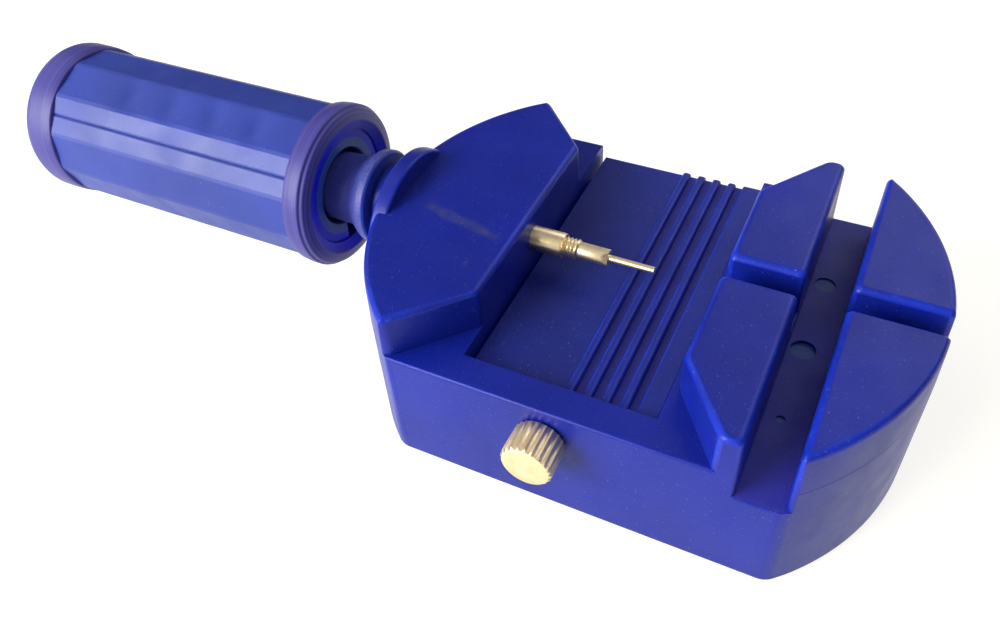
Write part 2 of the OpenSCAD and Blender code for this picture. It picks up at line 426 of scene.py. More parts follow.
def smear_mask(s):
    """A faint broken smear across the top of the head block."""
    parts = s.node("ShaderNodeSeparateXYZ")
    s.join(s.place, parts.inputs[0])
    x, y, z = (parts.outputs[axis] for axis in "XYZ")
    slope, offset, start, end = -0.21, 8.85, -26.5, -15
    line = s.math("SUBTRACT", s.math("MULTIPLY", x, slope), offset * MM)
    aside = s.math("ABSOLUTE", s.math("SUBTRACT", y, line))
    wobble = s.math("MULTIPLY", s.math("SUBTRACT", s.noise(320, 3), 0.5), 1.4 * MM)
    near = s.remap(s.math("ADD", aside, wobble), 0.95 * MM, 0.3 * MM)
    fade_in, fade_out = s.remap(x, start * MM, (start + 1.3) * MM), s.remap(x, end * MM, (end - 1.5) * MM)
    along = s.math("MULTIPLY", fade_in, fade_out)
    on_top = s.remap(z, (BLOCK_H - 0.2) * MM, (BLOCK_H - 0.05) * MM)
    patchy = s.remap(s.noise(700, 4, 0.7), 0.35, 0.65, 0.15, 0.55)
    return s.math("MULTIPLY", s.math("MULTIPLY", near, along), s.math("MULTIPLY", on_top, patchy))


def moulded_plastic(name, deep, bright, roughness=0.36, edge_glow=1.0, dust=1.0, gloss=1.33, smear=False):
    """Moulded plastic: cloudy depth, fine grain, dust specks, scuffs, and edge crests painted with a
    highlight and glow, with pale specks that are part chipped nicks and part painted glints.
    """
    s = Shader(name)
    cloud = s.remap(s.noise(70, 4), 0.3, 0.7)
    colour = s.mix(cloud, deep, bright)
    grain = s.remap(s.noise(6000, 2, 0.7), 0.45, 0.7)
    colour = s.mix(s.math("MULTIPLY", grain, 0.12 * dust), colour, (0.035, 0.06, 0.5, 1))
    specks = s.remap(s.noise(4300, 2, 0.6), 0.69, 0.75)
    colour = s.mix(s.math("MULTIPLY", specks, 0.32 * dust), colour, (0.4, 0.45, 0.85, 1))
    scuffs = s.remap(s.noise(1, 6, 0.7, at=s.stretched((900, 260, 400))), 0.62, 0.72)
    patches = s.remap(s.noise(110, 3), 0.5, 0.65)
    scuffs = s.math("MULTIPLY", scuffs, patches)
    colour = s.mix(s.math("MULTIPLY", scuffs, 0.14 * dust), colour, (0.25, 0.26, 0.5, 1))
    # Painted light: the edge crests are painted a brighter clear blue in patches, as a highlight and glow;
    # pale specks on them are part chipped nicks, part painted glints.
    glow_patches = s.remap(s.noise(130, 3), 0.4, 0.62, 0.25, 1.0)
    glowing_edges = s.math("MULTIPLY", s.remap(s.attribute("edge_glow"), 0.1, 1.0), glow_patches)
    colour = s.mix(s.math("MULTIPLY", glowing_edges, 0.4 * edge_glow), colour, (0.006, 0.04, 0.6, 1))
    nicks_and_glints = s.math("MULTIPLY", glowing_edges, s.remap(s.noise(1900, 4, 0.75), 0.62, 0.72))
    colour = s.mix(s.math("MULTIPLY", nicks_and_glints, 0.3 * edge_glow), colour, (0.3, 0.38, 0.9, 1))
    if smear:
        colour = s.mix(smear_mask(s), colour, (0.06, 0.065, 0.1, 1))
    rough = s.remap(s.noise(240, 5), 0.3, 0.7, roughness - 0.05, roughness + 0.07)
    rough = s.math("ADD", rough, s.math("MULTIPLY", scuffs, 0.12))
    normal = s.bump(s.noise(38, 2), 0.0006, 0.2)
    normal = s.bump(s.noise(2600, 3, 0.6), 0.00002, 0.6, under=normal)
    normal = s.bump(scuffs, 0.00002, 0.4, under=normal)
    s.bsdf.inputs["IOR"].default_value = gloss
    s.bsdf.inputs["Subsurface Weight"].default_value = 0.35
    s.bsdf.inputs["Subsurface Radius"].default_value = (0.05, 0.15, 1.0)
    s.bsdf.inputs["Subsurface Scale"].default_value = 0.0016
    return s.finish(colour=colour, roughness=rough, normal=normal)


def turned_coordinates(s):
    """(x, radius from the screw axis, 0): texture on it runs round the axis."""
    parts = s.node("ShaderNodeSeparateXYZ")
    s.join(s.place, parts.inputs[0])
    aside, up = parts.outputs["Y"], s.math("SUBTRACT", parts.outputs["Z"], AXIS_Z * MM)
    squares = s.math("ADD", s.math("MULTIPLY", up, up), s.math("MULTIPLY", aside, aside))
    radius = s.math("SQRT", squares)
    made = s.node("ShaderNodeCombineXYZ")
    s.join(parts.outputs["X"], made.inputs["X"])
    s.join(radius, made.inputs["Y"])
    return made.outputs["Vector"]


def ring_plastic_painted_sheen(name):
    """Darker plastic with fine turned lines round the handle's axis, and a paler purple-grey sheen painted
    along them.
    """
    s = Shader(name)
    around = turned_coordinates(s)
    lines = s.noise(2600, 4, 0.7, at=around)
    fade = s.remap(s.noise(160, 4), 0.35, 0.7)
    # The turned lines shift the tone, part real turning marks and part painted sheen.
    colour = s.mix(s.remap(lines, 0.35, 0.7), (0.026, 0.022, 0.16, 1), (0.06, 0.055, 0.3, 1))
    # Painted sheen: paler purple-grey streaks along the turned lines stand for light reflected off the turned
    # surface.
    sheen_streaks = s.math("MULTIPLY", s.remap(lines, 0.45, 0.75), fade)
    colour = s.mix(s.math("MULTIPLY", sheen_streaks, 0.5), colour, (0.17, 0.15, 0.38, 1))
    s.bsdf.inputs["IOR"].default_value = 1.4
    normal = s.bump(lines, 0.00003, 0.6)
    return s.finish(colour=colour, roughness=s.remap(lines, 0.3, 0.7, 0.38, 0.52), normal=normal)


def spool_plastic_painted_lit(name):
    """Grainy plastic with painted shade and light: dark on the hub, as in shade, and paler up the flare of
    the spool's flange, as if lit.
    """
    s = Shader(name)
    parts = s.node("ShaderNodeSeparateXYZ")
    s.join(turned_coordinates(s), parts.inputs[0])
    # Painted light and shade: the tone goes from a shaded dark on the hub to a lit paler tone up the flare.
    flare = s.remap(parts.outputs["Y"], 4.4 * MM, 5.7 * MM)
    grain = s.remap(s.noise(5200, 3, 0.7), 0.35, 0.7)
    dark = s.mix(grain, (0.016, 0.021, 0.15, 1), (0.045, 0.055, 0.3, 1))
    pale = s.mix(grain, (0.02, 0.026, 0.18, 1), (0.08, 0.095, 0.36, 1))
    normal = s.bump(grain, 0.00002, 0.5)
    s.bsdf.inputs["IOR"].default_value = 1.4
    return s.finish(colour=s.mix(flare, dark, pale), roughness=0.45, normal=normal)


def plated_metal(name, colour, tarnish, roughness=0.24, turned=True):
    """Nickel-plated steel or brass with turning marks and faint tarnish."""
    s = Shader(name)
    lines = s.noise(5200, 3, 0.7, at=turned_coordinates(s) if turned else None)
    stain = s.remap(s.noise(420, 4, 0.6), 0.45, 0.7)
    base = s.mix(s.math("MULTIPLY", stain, 0.5), colour, tarnish)
    rough = s.math("ADD", s.remap(lines, 0.3, 0.7, roughness - 0.05, roughness + 0.08),
                   s.math("MULTIPLY", stain, 0.08))
    return s.finish(colour=base, roughness=rough, metallic=1.0)


body_plastic = moulded_plastic(
    "moulded_blue", (0.0022, 0.009, 0.18, 1), (0.0032, 0.0125, 0.25, 1), smear=True,
)
# Painted light: the cross slot's floor is the body's plastic painted brighter and greyer, a painted
# reflection of the room on a floor that lies in shade.
slot_floor_lit_plastic = moulded_plastic("slot_floor_painted_light", (0.017, 0.019, 0.24, 1), (0.028, 0.028, 0.33, 1), 0.5)
# Painted light: teal stands for light showing through thin plastic, on the bottoms of the slot marks and on
# the spool's web.
teal_glow_plastic = moulded_plastic("teal_painted_glow", (0.009, 0.05, 0.22, 1), (0.018, 0.075, 0.3, 1), 0.45)
# The bed's edge crests get a stronger painted highlight and glow.
bed_plastic = moulded_plastic("bed_blue", (0.0065, 0.013, 0.15, 1), (0.0095, 0.019, 0.21, 1), 0.42, edge_glow=1.3)
# Painted light: the valleys between the ribs are painted brighter and greyer than the bed, against the shade
# that falls between the ribs.
valley_lit_plastic = moulded_plastic("bed_valley_painted_light", (0.019, 0.019, 0.22, 1), (0.028, 0.028, 0.3, 1), 0.55)
handle_plastic = moulded_plastic(
    "handle_blue", (0.0095, 0.026, 0.21, 1), (0.016, 0.04, 0.29, 1), 0.42, gloss=1.42,
)
spool_plastic = spool_plastic_painted_lit("spool_blue")
# Painted light: a bright clear blue that stands for light glowing through the thin lip, on the front ring's
# funnel and the outer ring of the web.
lip_glow_plastic = moulded_plastic("lip_painted_glow", (0.001, 0.003, 0.42, 1), (0.0015, 0.005, 0.6, 1), 0.5)
ring_plastic = ring_plastic_painted_sheen("ring_blue")
plated = plated_metal("plated_steel", (0.97, 0.81, 0.5, 1), (0.66, 0.47, 0.2, 1), 0.3)
plated_flutes = plated_metal(
    "plated_flutes", (0.95, 0.78, 0.48, 1), (0.62, 0.45, 0.22, 1), 0.38, turned=False,
)
brass = plated_metal("turned_brass", (0.72, 0.5, 0.2, 1), (0.4, 0.26, 0.1, 1))

# ---------------------------------------------------------------- body


def bow_radius(bow):
    """Radius of an end that bows out by so much over the body's width."""
    return (HALF_W ** 2 + bow ** 2) / (2 * bow)


def bow_slope(bow):
    """How far a bowed end comes in for each millimetre along X, where it leaves the side."""
    return math.sqrt(bow_radius(bow) ** 2 - HALF_W ** 2) / HALF_W


def bow_points(bow, side, margin, groove, steps=64):
    """Points round one bowed end of the body, from -Y to +Y. The side is -1 or 1 along X."""
    radius = bow_radius(bow)
    centre = side * (HALF_L - radius)
    radius -= margin + groove
    reach = math.asin((HALF_W - SIDE_SHARE * margin) / radius)
    return [
        (centre + side * radius * math.cos(a), radius * math.sin(a))
        for a in (reach * (2 * i / steps - 1) for i in range(steps + 1))
    ]


def with_round_ends(points):
    """(x, y, radius) points of a bowed end, rounded where it meets the sides."""
    inner = [(x, y, 0) for x, y in points[3:-3]]
    return [(*points[0], CORNER_R), *inner, (*points[-1], CORNER_R)]


def body_outline(margin, groove=0):
    """Plan of the base, drawn in by a margin. The groove of the parting line runs round the ends only."""
    jaw_end = with_round_ends(bow_points(JAW_BOW, 1, margin, groove))
    head_end = with_round_ends(bow_points(HEAD_BOW, -1, margin, groove))
    return filleted(jaw_end + head_end[::-1])


def top_edge():
    """(z, inset) pairs of the rounded top edges, from their foot to the top."""
    return [(BLOCK_H - TOP_ROUND * (1 - math.sin(a)), TOP_ROUND * (1 - math.cos(a))) for a in quarter_turn()]


def body_levels():
    """(z, margin, groove) from the underside, past the parting line, to the softly rounded top."""
    levels = [(0, 0.2, 0), (0.08, 0.06, 0), (0.25, 0, 0)]
    levels += [(RIM_H - 0.07, RIM_IN, 0), (RIM_H, RIM_IN, 0.05), (RIM_H + 0.07, RIM_IN, 0)]
    return levels + [(z, TOP_IN + inset, 0) for z, inset in top_edge()]


def cutter_levels(floor):
    """(z, widening, margin) of a cutter that opens out over the rounded top edges."""
    foot = RIM_IN + (TOP_IN - RIM_IN) * (floor - RIM_H) / (BLOCK_H - TOP_ROUND - RIM_H)
    levels = [(floor, 0, foot)] + [(z, 0.1 + inset, TOP_IN + inset) for z, inset in top_edge()]
    return levels + [(BLOCK_H + OVER, *levels[-1][1:])]


def mirrored(points):
    """(x, y, radius) points on the other side of the X axis, in the order that closes the outline."""
    return [(x, -y, radius) for x, y, radius in reversed(points)]


def gap_outline(widening, margin):
    """Plan of the space between the two blocks, with rounded block corners."""
    side, out, past = HALF_W - SIDE_SHARE * margin, HALF_W + 6, 4
    head_side = side - past * bow_slope(HEAD_BOW) + 0.15
    head_x, head_corner = HEAD_FACE_X - widening, HEAD_CHAMFER_X - widening
    jaw_x, jaw_corner = JAW_FACE_X + widening, JAW_CHAMFER_X + widening
    jaw = [
        (head_corner - past, -out, 0), (jaw_corner + past, -out, 0), (jaw_corner + past, -side - 0.15, 0),
        (jaw_corner, -side, 1.2), (jaw_x, -FACE_HALF, 0.9),
    ]
    head = [(head_corner - past, head_side, 0), (head_corner, side, 1.3), (head_x, FACE_HALF, 0.9)]
    return filleted(jaw + mirrored(jaw) + head + mirrored(head))


def cross_slot_outline(widening, margin):
    """Plan of the slot across the jaw, rounded where it runs out through the sides."""
    side, out, past = HALF_W - SIDE_SHARE * margin, HALF_W + OVER, 3
    x0, x1 = CROSS_SLOT[0] - widening, CROSS_SLOT[1] + widening
    jaw_side = side - past * bow_slope(JAW_BOW) + 0.2
    front = [
        (x0, -side, MOUTH_ROUND), (x0 - past, -side - 0.15, 0), (x0 - past, -out, 0), (x1 + past, -out, 0),
        (x1 + past, -jaw_side, 0), (x1, -side, 0.55),
    ]
    return filleted(front + mirrored(front))


def exit_slot_outline(widening, margin):
    """Plan of the slot the link pin leaves by, rounded at its mouths."""
    half, out = EXIT_HALF_W + widening, EXIT_HALF_W + OVER
    x0, x1 = CROSS_SLOT[0] - widening, CROSS_SLOT[1] + widening
    face, end = JAW_FACE_X + widening, HALF_L - margin
    upper = [
        (face - OVER, out, 0), (face - 0.1, out, 0), (face, half, MOUTH_ROUND),
        (x0, half, MOUTH_ROUND), (x0 + 0.1, out, 0), (x1 - 0.1, out, 0), (x1, half, MOUTH_ROUND),
        (end, half, MOUTH_ROUND), (end + 0.1, out, 0), (end + OVER, out, 0),
    ]
    return filleted(upper + mirrored(upper))


def edge_rounding(x0, x1, y, z, outward, ease):
    """Cutter along X that rounds over the edge of a level surface."""
    profile = [
        (y - outward * ease * (1 - math.sin(a)), z - ease * (1 - math.cos(a))) for a in quarter_turn(4)
    ]
    past, above = y + outward * OVER, z + 0.02
    profile += [(past, z - ease), (past, above), (profile[0][0], above)]
    return loft([[(x, across, up) for across, up in profile] for x in (x0, x1)])


def drafted(outline, levels):
    """A solid through an outline function at (z, arguments) levels."""
    return loft([[(x, y, z) for x, y in outline(*rest)] for z, *rest in levels])


def underside_pockets():
    """The moulding pockets of the CAD body under each block, in two rows of four, as cutting solids."""
    wall, rib = 2.2, 1.8
    across = (2 * HALF_W - 2 * wall - 3 * rib) / 4
    under_head = (wall - HALF_L, HEAD_FACE_X - 2, 10)
    under_jaw = (JAW_FACE_X + 1.4, HALF_L - wall, 10.4)
    out = []
    for x0, x1, top in (under_head, under_jaw):
        along = (x1 - x0 - rib) / 2
        inner = drafted(body_outline, [(-1, wall), (top, wall)])
        for x in (x0, x0 + along + rib):
            for y in (wall - HALF_W + j * (across + rib) for j in range(4)):
                cell = box_mesh((x, y, -2), (x + along, y + across, top + 1))
                out.append(combined(inner.copy(), [cell], "INTERSECT"))
        inner.free()
    return out


def build_body():
    """Drafted block with a boss and a stub, less the gap, slots, well, bores and underside pockets."""
    solid = drafted(body_outline, body_levels())
    boss = eased_bar(*BOSS_X, BOSS_R, BOSS_Z, 0.35)
    stub = bar_mesh(STUB_X, BOSS_X[1], STUB_R)
    solid = combined(solid, [boss, stub], "UNION")
    slot_side = HALF_W - 0.06
    cuts = [
        drafted(gap_outline, cutter_levels(RIM_H)),
        drafted(cross_slot_outline, cutter_levels(CROSS_FLOOR)),
        drafted(exit_slot_outline, cutter_levels(EXIT_FLOOR)),
        box_mesh((WELL_X[0], WELL_FRONT_Y, WELL_FLOOR), (WELL_X[1], WELL_BACK_Y, RIM_H + OVER)),
        box_mesh((WELL_X[0], 0, WELL_BACK_H), (WELL_X[1], HALF_W + OVER, RIM_H + OVER)),
        edge_rounding(HEAD_CHAMFER_X, JAW_CHAMFER_X, -slot_side, RIM_H, -1, 0.4),
        edge_rounding(HEAD_CHAMFER_X, JAW_CHAMFER_X, slot_side, RIM_H, 1, 0.4),
        edge_rounding(*WELL_X, WELL_FRONT_Y, RIM_H, 1, 0.3),
        edge_rounding(*CROSS_SLOT, -slot_side, CROSS_FLOOR, -1, 0.35),
        edge_rounding(*CROSS_SLOT, slot_side, CROSS_FLOOR, 1, 0.35),
        bar_mesh(STUB_X - OVER, *BUSH_BORE),
        bar_mesh(BUSH_BORE[0] - 1, *SCREW_BORE),
        bar_mesh(SCREW_BORE[0] - 0.4, HEAD_FACE_X + OVER, NOSE_BORE_R),
        *underside_pockets(),
    ]
    for x, y, depth, radius in SLOT_MARKS:
        cuts.append(upright(x, y, CROSS_FLOOR - depth, CROSS_FLOOR + 1, radius))
    for start, radius in ((-HALF_W - OVER, THUMB_BORE_R), (WELL_FRONT_Y - INSERT_L, INSERT_BORE_R)):
        cuts.append(across_y([(start, radius), (WELL_FRONT_Y + OVER, radius)]))
    return tidied(combined(solid, cuts, "DIFFERENCE"))


def on_slot_floor(at, normal):
    """True on the floor of the cross slot."""
    return normal.z > 0.9 and abs(at.z - CROSS_FLOOR) < 0.05 and at.x > CROSS_SLOT[0]


def in_slot_mark(at, normal):
    """True on the bottoms of the marks in the cross slot."""
    return normal.z > 0.9 and -1 < at.z - CROSS_FLOOR < -0.1 and at.x > 15 and abs(at.y) < 15


body = make_object("body_moulding", build_body(), body_plastic, steady=True)
# The cross slot's floor gets its painted light.
paint(body, slot_floor_lit_plastic, on_slot_floor)
# The bottoms of the slot marks get the painted teal glow.
paint(body, teal_glow_plastic, in_slot_mark)
stand_for(body, "base", "body_plastic", "body")

# ---------------------------------------------------------------- bed plate


def bed_profile(rib_share):
    """(x, z) points of the plate's section. The ribs stand up by a share of their height."""
    top, crest, thick = bed_high.z - RIB_H, bed_high.z, 2.2
    x0, x1 = bed_low.x, bed_high.x
    points = [(x0, top - thick, 0.05), (x0, top, 0.12)]
    for i in range(4):
        x = RIBS_X[0] + RIB_PITCH * i
        points += [(x, top, 0.1), (x + 0.05, crest, 0.3), (x + 0.95, crest, 0.3), (x + 1, top, 0.1)]
    step = RIBS_X[1]
    points += [(step, top, 0.1), (step, crest, 0.25), (x1, crest, 0.15), (x1, top - thick, 0.05)]
    return [(x, z if z < top else top + (z - top) * rib_share) for x, z in filleted(points, 4)]


def build_bed():
    """Ribbed plate on a frame of legs. The legs start a hair inside the plate's sides."""
    y0, y1 = bed_low.y, bed_high.y
    leg_top, leg_bottom, leg, leg_y1 = bed_high.z - 1.9, bed_low.z, 1.6, WELL_BACK_Y - 0.3
    x0, x1 = bed_low.x, bed_high.x
    stations = [(y0, 1)] + [(y1 - 0.7 * (1 - math.sin(a)), max(0.03, math.cos(a))) for a in quarter_turn()]
    solid = loft([[(x, y, z) for x, z in bed_profile(share)] for y, share in stations])
    legs = [
        box_mesh((x, y0 + 0.001, leg_bottom), (x + leg, leg_y1, leg_top))
        for x in (x0 + 0.001, (x0 + x1 - leg) / 2, x1 - leg - 0.001)
    ]
    legs += [
        box_mesh((x0 + 0.002, y, leg_bottom), (x1 - 0.002, y + leg, leg_top))
        for y in (y0 + 0.002, leg_y1 - leg)
    ]
    solid = combined(solid, legs, "UNION")
    return soften(solid, 0.08)


def between_ribs(at, normal):
    """True in the valleys from the first rib to the raised step."""
    low_face = normal.z > 0.6 and at.z < bed_high.z - RIB_H + 0.1
    return low_face and RIBS_X[0] - 0.05 < at.x < RIBS_X[1] + 0.1


bed = make_object("bed_ribbed", build_bed(), bed_plastic, steady=True)
# The valleys between the ribs get their painted light.
paint(bed, valley_lit_plastic, between_ribs)
stand_for(bed, "bed", "bed_plastic", "bed_plate")

# ---------------------------------------------------------------- turned pieces


def lathe(profile, steps=128, radius_at=None):
    """A solid turned about the screw axis. The profile is (x, radius) points, closed when it loops."""
    closed = profile[0] != profile[-1] and min(r for _, r in profile) > 0
    rings = []
    for x, radius in profile:
        ring = []
        for i in range(steps):
            a = 2 * math.pi * i / steps
            r = radius_at(x, radius, a) if radius_at else radius
            ring.append((x, r * math.cos(a), AXIS_Z + r * math.sin(a)))
        rings.append(ring)
    return loft(rings, closed)


def thread_radius(start, end, pitch, depth):
    """Radius function of a lathe that cuts a helical thread between two places."""
    def at(x, radius, angle):
        if not start < x < end:
            return radius
        phase = (x / pitch - angle / (2 * math.pi)) % 1
        fade = min(1, (x - start) / pitch, (end - x) / pitch)
        return radius - depth * fade * abs(2 * phase - 1)
    return at


def spread(x0, x1, radius, step):
    """Profile points at an even spacing along a straight stretch."""
    count = max(2, round((x1 - x0) / step))
    return [(x0 + (x1 - x0) * i / count, radius) for i in range(count + 1)]


def build_front_ring():
    """Ring with a raised band, a narrower front part and a funnel into the mouth."""
    x0, x1, outer = ring_low.x, ring_high.x, (ring_high.z - ring_low.z) / 2
    inner, throat, back = SPIGOT_HOLE_R, MOUTH_R + 0.02, x1 - 0.78
    return lathe(filleted([
        (x0 + 0.06, inner, 0), (x0 + 0.06, outer - 0.14, 0.2), (x0 + 1.2, outer, 3), (x0 + 2.3, outer, 0.25),
        (x0 + 2.45, outer - 0.3, 0.15), (x1 - 0.3, outer - 0.38, 0.35), (x1, LIP_CREST_R, 0.12),
        (x1 - 0.1, LIP_CREST_R - 0.14, 0.06), (x1 - 0.6, throat, 0.15), (back, throat, 0.05),
        (back, inner, 0),
    ], 4))


def build_rear_cap():
    """Cap with a slightly dished end, open towards the barrel."""
    x0, x1, outer = cap_low.x, cap_high.x, (cap_high.z - cap_low.z) / 2
    front, floor, inner = x1 - 0.08, x0 + 1.7, SPIGOT_HOLE_R
    return lathe(filleted([
        (x0 + 0.12, CENTRE_R, 0), (x0, 7.2, 1), (x0, outer - 0.4, 0.4), (x0 + 0.9, outer, 1.2),
        (x1 - 1.4, outer, 2), (front, outer - 0.14, 0.22), (front, inner, 0.05), (floor, inner, 0.1),
        (floor, CENTRE_R, 0),
    ], 4))


def build_hub():
    """Spool: a flange with a flared back, a hub, and a web with a round recess and a notch."""
    web, x1 = hub_low.x, hub_high.x
    face, step, floor = WEB_FACE_X, WEB_FACE_X - LIP_STEP, web + 3.5
    bore, wide = 2.02, BARREL_IN_R - 0.02
    solid = lathe(filleted([
        (x1, bore, 0.1), (x1, 5.8, 0.25), (x1 - 0.3, 6.03, 0.25), (x1 - 1.3, 5.95, 1.2), (x1 - 3.2, 4.5, 2),
        (floor, 4.3, 0.3), (floor, 5.05, 0.3), (face, 5, 0.35), (face, 6.3, 0), (step, 6.35, 0),
        (step, wide, 0.1), (web, wide, 0.2), (web, bore, 0.1),
    ], 4))
    notch = box_mesh((floor + 0.1, -1.6, AXIS_Z - BARREL_IN_R - 1), (face + 1, 2.0, AXIS_Z - 5.1))
    return soften(combined(solid, [notch], "DIFFERENCE"), 0.12, where=near_notch)


def near_notch(place):
    """True round the notch, below the recess."""
    return abs(place.y - 0.2) < 1.9 and place.z < AXIS_Z - 5


def build_feed_screw():
    """Threaded rod with a plain nose, hollow at the end for the tip."""
    x0, x1 = screw_low.x, screw_high.x
    shoulder = HEAD_FACE_X - 3.2
    thread = thread_radius(x0 + 1, shoulder, FEED_PITCH, 0.38)
    profile = [(x0, CENTRE_R), (x0, 1.7), *spread(x0 + 0.3, shoulder, 2, FEED_PITCH / 8)]
    profile += [(shoulder + 0.05, 1.5), (x1 - 0.2, 1.5), (x1 - 0.05, 1.44), (x1, 1.32), (x1, 1.26)]
    profile += [(x1 - 3.3, 1.26), (x1 - 3.3, CENTRE_R)]
    return lathe(profile, 64, thread)


def build_tip_holder():
    """Threaded tip with a plain front, two slanting flats and a hole for the pin."""
    start, end, shaft_end = tip_low.x, tip_high.x, -8.05
    thread = thread_radius(start + 0.2, shaft_end, TIP_PITCH, 0.24)
    profile = [(start, CENTRE_R), (start, 1.1), *spread(start + 0.1, shaft_end - 0.1, 1.24, 0.05)]
    profile += [(shaft_end + 0.12, 1.0), (end - 0.06, 1.0), (end, 0.94), (end, 0.44), (end - 0.1, 0.42)]
    profile += [(end - 3, 0.42), (end - 3, CENTRE_R)]
    solid = lathe(profile, 64, thread)
    flats = []
    for turn in (60, 240):
        flat = box_mesh((-1.15, -1.5, 0.62), (0.5, 1.5, 2.0))
        flat.transform(Matrix.Rotation(math.radians(22), 4, "Y"))
        flat.transform(Matrix.Translation((end, 0, AXIS_Z)) @ Matrix.Rotation(math.radians(turn), 4, "X"))
        flats.append(flat)
    return combined(solid, flats, "DIFFERENCE")


def build_pin():
    """Round pin with eased ends."""
    x0, x1 = pin_low.x, pin_high.x
    return lathe([
        (x0, CENTRE_R), (x0, 0.36), (x0 + 0.05, PIN_R), (x1 - 0.06, PIN_R), (x1, 0.34), (x1, CENTRE_R),
    ], 32)


def build_bush():
    """Bush with a chamfered bore and eased edges."""
    x0, x1 = bush_low.x, bush_high.x
    return lathe([
        (x0, 2.3), (x0 + 0.02, 2.88), (x0 + 0.12, 2.99), (x1 - 0.1, 2.99), (x1, 2.9), (x1, 2.05),
        (x0 + 0.25, 2.05),
    ], 64)


def build_thumb_head():
    """Fluted head with straight ridges, a chamfered face and a narrower end at the wall."""
    radius = (thumb_high.x - thumb_low.x) / 2
    front, back = thumb_low.y, thumb_high.y
    flutes, per_flute = 22, 8

    def ring(y, scale, depth):
        points = []
        for i in range(flutes * per_flute):
            a = 2 * math.pi * i / (flutes * per_flute)
            phase = abs(2 * ((i % per_flute) / per_flute) - 1)
            r = scale * radius - depth * min(1, 1.6 * phase)
            points.append((THUMB_X + r * math.cos(a), y, THUMB_Z + r * math.sin(a)))
        return points

    return loft([
        ring(back, 0.9, 0), ring(back - 0.12, 0.98, 0.22), ring(front + 0.42, 1, 0.26),
        ring(front + 0.2, 0.95, 0.14), ring(front + 0.06, 0.895, 0), ring(front, 0.865, 0),
        ring(front, 0.4, 0), ring(front, 0.02, 0),
    ])


def build_thumb_shank():
    """Shank with a thin root inside the head and a chamfered tip."""
    back, end = thumb_high.y, bed_low.y - 0.05
    return across_y([
        (back - 2.8, 0.98), (back, 0.98), (back, 1.2), (back + 0.15, 1.45), (end - 0.3, 1.45), (end, 1.2),
    ])


# ---------------------------------------------------------------- barrel


def barrel_radius(x, angle):
    """Outer radius of the barrel: flats with eased corners, a slight taper and four sink marks."""
    along = (x - cap_high.x) / (ring_low.x - cap_high.x)
    vertex = 10.17 - 0.04 * along
    facet = math.radians(FLAT_TURN)
    past_corner = (angle - math.radians(FLAT_CORNER)) % (2 * math.pi)
    offset = past_corner % facet - facet / 2
    flat = vertex * math.cos(facet / 2)
    radius = min(flat / math.cos(offset), vertex - 0.07)
    depth, width = 0.3 if past_corner < facet else 0.05, 1.6
    for i in range(4):
        sink_x = cap_high.x + (ring_low.x - cap_high.x) * (0.3 + 0.176 * i)
        radius -= depth * math.exp(-(((x - sink_x) / width) ** 2)) * math.cos(offset * 5.5)
    return radius


def build_half_barrel(side):
    """Half of the barrel from one seam to the other, with a spigot at each end."""
    first = SEAM if side > 0 else SEAM - 180
    gap, spans, rows = 0.2, 120, 110
    seam_dip = 0.1
    degrees = [first + gap + (180 - 2 * gap) * i / spans for i in range(spans + 1)]
    x0, x1 = cap_high.x, ring_low.x
    stations = [x0 + (x1 - x0) * i / rows for i in range(rows + 1)]
    stations = [x0 - 3, x0 - 0.02, *stations, x1 + 0.02, x1 + 2.35]
    bm = bmesh.new()
    outer, inner = [], []
    for n, x in enumerate(stations):
        row_out, row_in = [], []
        spigot = n < 2 or n >= len(stations) - 2
        for i, degree in enumerate(degrees):
            a = math.radians(degree)
            r = SPIGOT_R if spigot else barrel_radius(x, a)
            if not spigot and i in (0, spans):
                r -= seam_dip
            row_out.append(bm.verts.new((x, r * math.cos(a), AXIS_Z + r * math.sin(a))))
            row_in.append(bm.verts.new((x, BARREL_IN_R * math.cos(a), AXIS_Z + BARREL_IN_R * math.sin(a))))
        outer.append(row_out)
        inner.append(row_in)
    last = len(stations) - 1
    for n in range(last):
        for i in range(spans):
            bm.faces.new((outer[n][i], outer[n][i + 1], outer[n + 1][i + 1], outer[n + 1][i]))
            bm.faces.new((inner[n][i], inner[n + 1][i], inner[n + 1][i + 1], inner[n][i + 1]))
        for i in (0, spans):
            bm.faces.new((outer[n][i], outer[n + 1][i], inner[n + 1][i], inner[n][i]))
    for n in (0, last):
        for i in range(spans):
            bm.faces.new((outer[n][i], inner[n][i], inner[n][i + 1], outer[n][i + 1]))
    return bm


# ---------------------------------------------------------------- placing the pieces

# (name, builder, material, body that it rides on, slot, CAD node that it replaces)
TURNED = [
    ("ring_front_turned", build_front_ring, ring_plastic, "driver", "ring_plastic", "front_ring"),
    ("cap_rear_turned", build_rear_cap, ring_plastic, "driver", "ring_plastic", "rear_cap"),
    ("hub_spool", build_hub, spool_plastic, "driver", "handle_plastic", "handle_hub"),
    ("screw_threaded", build_feed_screw, plated, "driver", "plated_steel", "feed_screw"),
    ("tip_threaded", build_tip_holder, plated, "driver", "plated_steel", "tip_holder"),
    ("pin_round", build_pin, plated, "pin", "plated_steel", "ejector_pin"),
    ("bush_turned", build_bush, brass, "base", "brass", "thread_bush"),
    ("thumb_head_fluted", build_thumb_head, plated_flutes, "clamp_head", "plated_steel", "thumb_screw_head"),
    ("thumb_shank_round", build_thumb_shank, plated_flutes, "clamp_shank", "plated_steel",
     "thumb_screw_shank"),
]
turned = {}
for name, build, material, rides_on, slot, node in TURNED:
    turned[name] = make_object(name, build(), material, 35, steady=name == "hub_spool")
    stand_for(turned[name], rides_on, slot, node)


def on_web(at, normal):
    """True on the ring of the web round the recess."""
    return abs(at.x - WEB_FACE_X) < 0.02 and normal.x > 0.7


